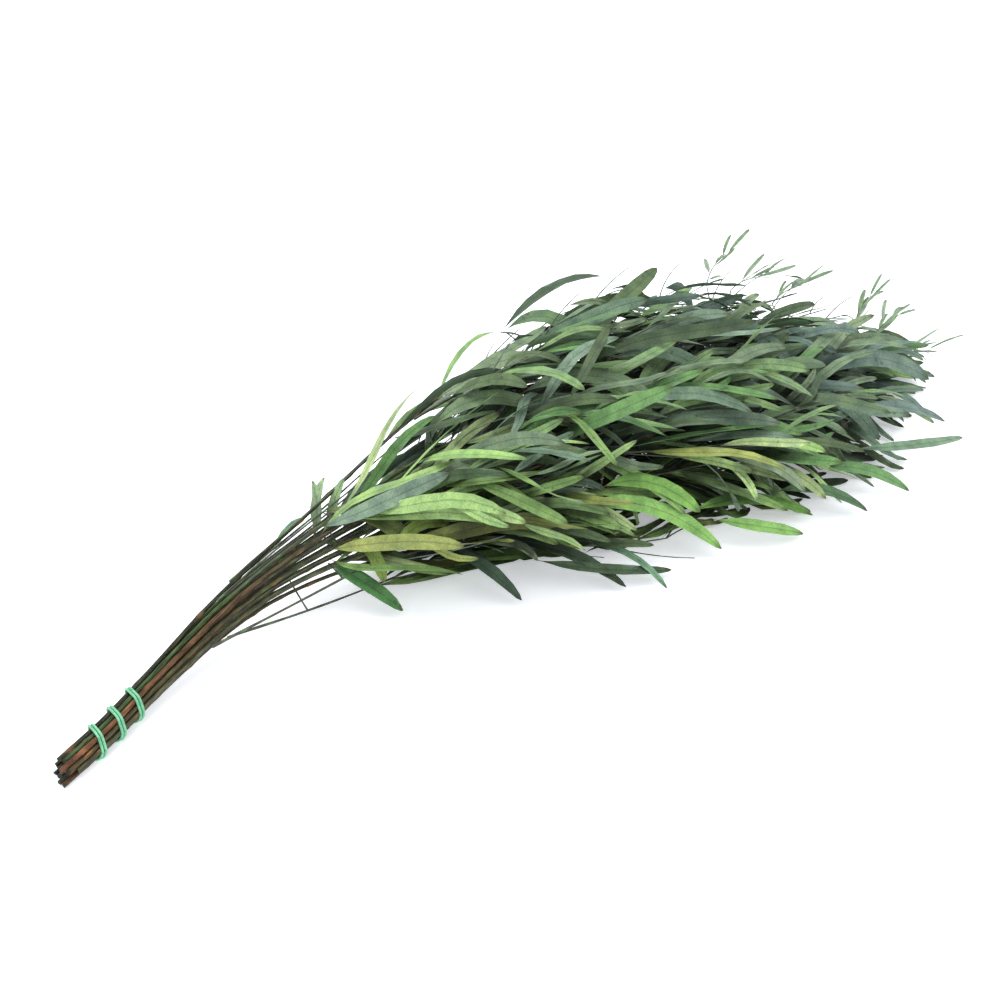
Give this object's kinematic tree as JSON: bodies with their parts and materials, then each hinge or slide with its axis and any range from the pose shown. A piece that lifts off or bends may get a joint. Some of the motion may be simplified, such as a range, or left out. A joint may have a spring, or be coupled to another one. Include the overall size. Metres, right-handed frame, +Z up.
{
  "type": "bunch of dried eucalyptus",
  "caption": "Bunch of dried long-leaf eucalyptus branches lying down, woody stems held near their cut ends by a rubber band, leafy shoots fanning out.",
  "frame": {"origin": "middle of the bunch's footprint, on the surface that it lies on", "axes": "+X from the cut ends towards the leaf tips, +Z up from the surface, +Y to the left of the bunch as seen from its cut ends"},
  "size_m": [0.7724, 0.3053, 0.1329],
  "materials": {
    "leaf": "matt preserved leaf, grey-green to yellow-green, with a fine dark midrib",
    "stem_bark": "dull brown to dark green bark with leaf scars",
    "band_latex": "mint green rubber, satin"
  },
  "bodies": {
    "root": {"rubber_band": "band_latex", "stem_01": "stem_bark", "shoot_01_tip": "leaf", "shoot_01_side_1": "leaf", "shoot_01_side_2": "leaf", "stem_02": "stem_bark", "shoot_02_tip": "leaf", "shoot_02_side_1": "leaf", "shoot_02_side_2": "leaf", "stem_03": "stem_bark", "shoot_03_tip": "leaf", "shoot_03_side_1": "leaf", "shoot_03_side_2": "leaf", "stem_04": "stem_bark", "shoot_04_tip": "leaf", "shoot_04_side_1": "leaf", "stem_05": "stem_bark", "shoot_05_tip": "leaf", "shoot_05_side_1": "leaf", "stem_06": "stem_bark", "shoot_06_tip": "leaf", "shoot_06_side_1": "leaf", "shoot_06_side_2": "leaf", "stem_07": "stem_bark", "shoot_07_tip": "leaf", "shoot_07_side_1": "leaf", "shoot_07_side_2": "leaf", "stem_08": "stem_bark", "shoot_08_tip": "leaf", "shoot_08_side_1": "leaf", "shoot_08_side_2": "leaf", "stem_09": "stem_bark", "shoot_09_tip": "leaf", "shoot_09_side_1": "leaf", "shoot_09_side_2": "leaf", "stem_10": "stem_bark", "shoot_10_tip": "leaf", "shoot_10_side_1": "leaf", "shoot_10_side_2": "leaf", "stem_11": "stem_bark", "shoot_11_tip": "leaf", "shoot_11_side_1": "leaf", "stem_12": "stem_bark", "shoot_12_tip": "leaf", "shoot_12_side_1": "leaf", "shoot_12_side_2": "leaf", "stem_13": "stem_bark", "shoot_13_tip": "leaf", "shoot_13_side_1": "leaf", "stem_14": "stem_bark", "shoot_14_tip": "leaf", "shoot_14_side_1": "leaf", "stem_15": "stem_bark", "shoot_15_tip": "leaf", "shoot_15_side_1": "leaf", "shoot_15_side_2": "leaf", "stem_16": "stem_bark", "shoot_16_tip": "leaf", "shoot_16_side_1": "leaf"}
  },
  "joints": []
}
